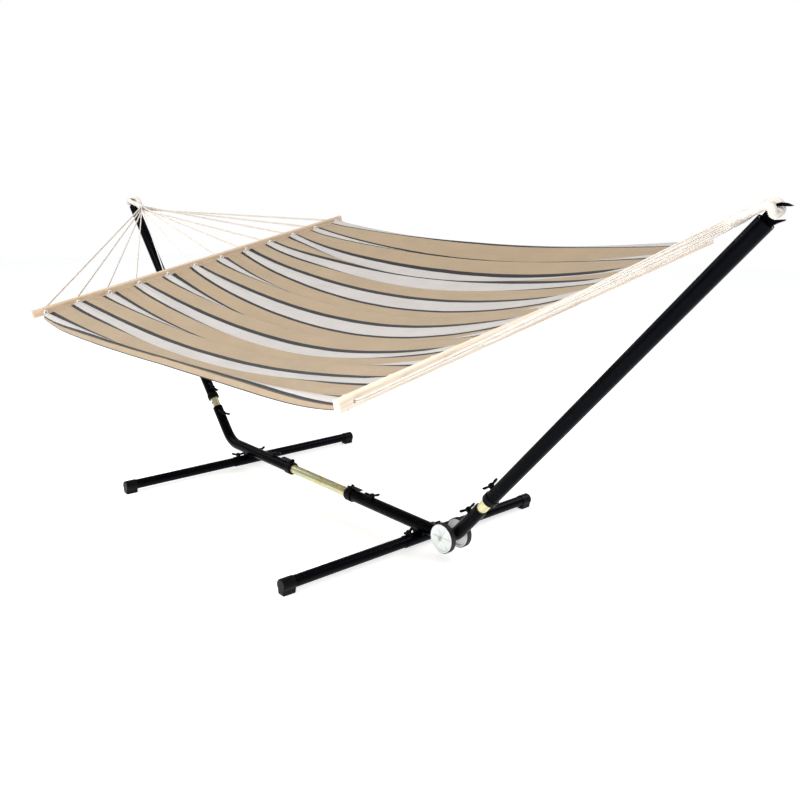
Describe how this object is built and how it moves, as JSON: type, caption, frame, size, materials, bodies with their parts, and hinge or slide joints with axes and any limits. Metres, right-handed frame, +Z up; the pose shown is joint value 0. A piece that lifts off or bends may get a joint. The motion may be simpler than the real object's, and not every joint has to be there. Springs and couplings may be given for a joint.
{
  "type": "hammock on stand",
  "caption": "Spreader-bar hammock with striped fabric bed hung between the hooks of an adjustable tubular steel stand with cross feet and transport wheels.",
  "frame": {"origin": "on the ground at the centre of the footprint of the four feet, midway between the two cross feet", "axes": "+X along the stand towards the wheels, +Z up, +Y across"},
  "size_m": [3.1524, 1.5109, 1.0988],
  "materials": {
    "frame_steel": "satin black powder coat",
    "zinc_steel": "yellow zinc plating",
    "black_plastic": "moulded, fine texture",
    "wheel_plastic": "pale moulded nylon",
    "tyre_rubber": "moulded rubber",
    "axle_steel": "bright zinc",
    "bar_wood": "planed pine, unvarnished",
    "rope_cotton": "twisted cotton",
    "bed_fabric": "woven cotton with lengthwise stripes"
  },
  "bodies": {
    "far_frame": {"centre_tube": "zinc_steel", "far_frame_tube": "frame_steel", "far_cross_sleeve": "frame_steel", "far_saddle": "frame_steel", "far_frame_nuts": "frame_steel", "far_collar": "black_plastic", "far_left_foot": "frame_steel", "far_right_foot": "frame_steel", "far_post_link": "zinc_steel", "far_left_end_cap": "black_plastic", "far_right_end_cap": "black_plastic"},
    "near_frame": {"near_frame_tube": "frame_steel", "near_cross_sleeve": "frame_steel", "near_saddle": "frame_steel", "near_frame_nuts": "frame_steel", "near_collar": "black_plastic", "near_left_foot": "frame_steel", "near_right_foot": "frame_steel", "near_post_link": "zinc_steel", "near_left_end_cap": "black_plastic", "near_right_end_cap": "black_plastic", "wheel_axle": "axle_steel", "wheel_axle_nut": "axle_steel", "axle_spacers": "axle_steel"},
    "far_post": {"far_post": "frame_steel", "far_hook": "frame_steel", "far_post_cap": "black_plastic", "far_post_bush": "black_plastic", "far_post_nut": "frame_steel"},
    "near_post": {"near_post": "frame_steel", "near_hook": "frame_steel", "near_post_cap": "black_plastic", "near_post_bush": "black_plastic", "near_post_nut": "frame_steel"},
    "hammock": {"far_spreader_bar": "bar_wood", "far_ropes": "rope_cotton", "far_rope_eye": "rope_cotton", "near_spreader_bar": "bar_wood", "near_ropes": "rope_cotton", "near_rope_eye": "rope_cotton", "hammock_bed": "bed_fabric"},
    "left_wheel": {"left_wheel_hub": "wheel_plastic", "left_wheel_tyre": "tyre_rubber"},
    "right_wheel": {"right_wheel_hub": "wheel_plastic", "right_wheel_tyre": "tyre_rubber"},
    "near_base_knob": {"near_base_knob": "black_plastic"},
    "near_socket_knob": {"near_socket_knob": "black_plastic"},
    "near_post_knob": {"near_post_knob": "black_plastic"},
    "near_left_foot_knob": {"near_left_foot_knob": "black_plastic"},
    "near_right_foot_knob": {"near_right_foot_knob": "black_plastic"},
    "near_latch": {"near_latch": "black_plastic"},
    "far_base_knob": {"far_base_knob": "black_plastic"},
    "far_socket_knob": {"far_socket_knob": "black_plastic"},
    "far_post_knob": {"far_post_knob": "black_plastic"},
    "far_left_foot_knob": {"far_left_foot_knob": "black_plastic"},
    "far_right_foot_knob": {"far_right_foot_knob": "black_plastic"},
    "far_latch": {"far_latch": "black_plastic"}
  },
  "joints": [
    {"name": "post_raise", "type": "slide", "parent": "far_frame", "child": "far_post", "axis": [-0.6561, 0, 0.7547], "range_m": [-0.038, 0.17]},
    {"name": "base_slide", "type": "slide", "parent": "far_frame", "child": "near_frame", "axis": [1, 0, 0], "range_m": [-0.2241, 0.0509]},
    {"name": "near_post_raise", "type": "slide", "parent": "near_frame", "child": "near_post", "axis": [0.6561, 0, 0.7547], "range_m": [-0.0385, 0.1705]},
    {"name": "hammock_swing", "type": "hinge", "parent": "far_post", "child": "hammock", "pos_m": [-1.54025, 0, 1.07125], "axis": [1, 0, 0], "range_deg": [-31.9, 6.3]},
    {"name": "left_wheel_spin", "type": "hinge", "parent": "near_frame", "child": "left_wheel", "pos_m": [0.66449, 0, 0.0789], "axis": [0, 1, 0], "continuous": true},
    {"name": "right_wheel_spin", "type": "hinge", "parent": "near_frame", "child": "right_wheel", "pos_m": [0.66449, 0, 0.0789], "axis": [0, 1, 0], "continuous": true},
    {"name": "near_base_knob_turn", "type": "hinge", "parent": "near_frame", "child": "near_base_knob", "pos_m": [0.28, 0, 0.09], "axis": [0, 0, 1], "range_deg": [0, 360]},
    {"name": "near_socket_knob_turn", "type": "hinge", "parent": "near_frame", "child": "near_socket_knob", "pos_m": [0.73844, 0, 0.18089], "axis": [-0.7547, 0, 0.6561], "range_deg": [0, 360]},
    {"name": "near_post_knob_turn", "type": "hinge", "parent": "near_post", "child": "near_post_knob", "pos_m": [0.82504, 0, 0.28051], "axis": [-0.7547, 0, 0.6561], "range_deg": [0, 360]},
    {"name": "near_left_foot_knob_turn", "type": "hinge", "parent": "near_frame", "child": "near_left_foot_knob", "pos_m": [0.527, -0.054, 0.0493], "axis": [0, 0, 1], "range_deg": [0, 360]},
    {"name": "near_right_foot_knob_turn", "type": "hinge", "parent": "near_frame", "child": "near_right_foot_knob", "pos_m": [0.527, 0.054, 0.0493], "axis": [0, 0, 1], "range_deg": [0, 360]},
    {"name": "near_latch_lift", "type": "hinge", "parent": "near_frame", "child": "near_latch", "pos_m": [0.161, 0, 0.0975], "axis": [0, -1, 0], "range_deg": [0, 75]},
    {"name": "far_base_knob_turn", "type": "hinge", "parent": "far_frame", "child": "far_base_knob", "pos_m": [-0.334, 0, 0.09], "axis": [0, 0, 1], "range_deg": [0, 360]},
    {"name": "far_socket_knob_turn", "type": "hinge", "parent": "far_frame", "child": "far_socket_knob", "pos_m": [-0.73844, 0, 0.18089], "axis": [0.7547, 0, 0.6561], "range_deg": [0, 360]},
    {"name": "far_post_knob_turn", "type": "hinge", "parent": "far_post", "child": "far_post_knob", "pos_m": [-0.82504, 0, 0.28051], "axis": [0.7547, 0, 0.6561], "range_deg": [0, 360]},
    {"name": "far_left_foot_knob_turn", "type": "hinge", "parent": "far_frame", "child": "far_left_foot_knob", "pos_m": [-0.527, 0.054, 0.0493], "axis": [0, 0, 1], "range_deg": [0, 360]},
    {"name": "far_right_foot_knob_turn", "type": "hinge", "parent": "far_frame", "child": "far_right_foot_knob", "pos_m": [-0.527, -0.054, 0.0493], "axis": [0, 0, 1], "range_deg": [0, 360]},
    {"name": "far_latch_lift", "type": "hinge", "parent": "far_frame", "child": "far_latch", "pos_m": [-0.215, 0, 0.0975], "axis": [0, 1, 0], "range_deg": [0, 75]}
  ],
  "couplings": [
    {"joint": "base_slide", "follows": "post_raise", "ratio": -1.3121},
    {"joint": "near_post_raise", "follows": "post_raise", "ratio": 1}
  ]
}
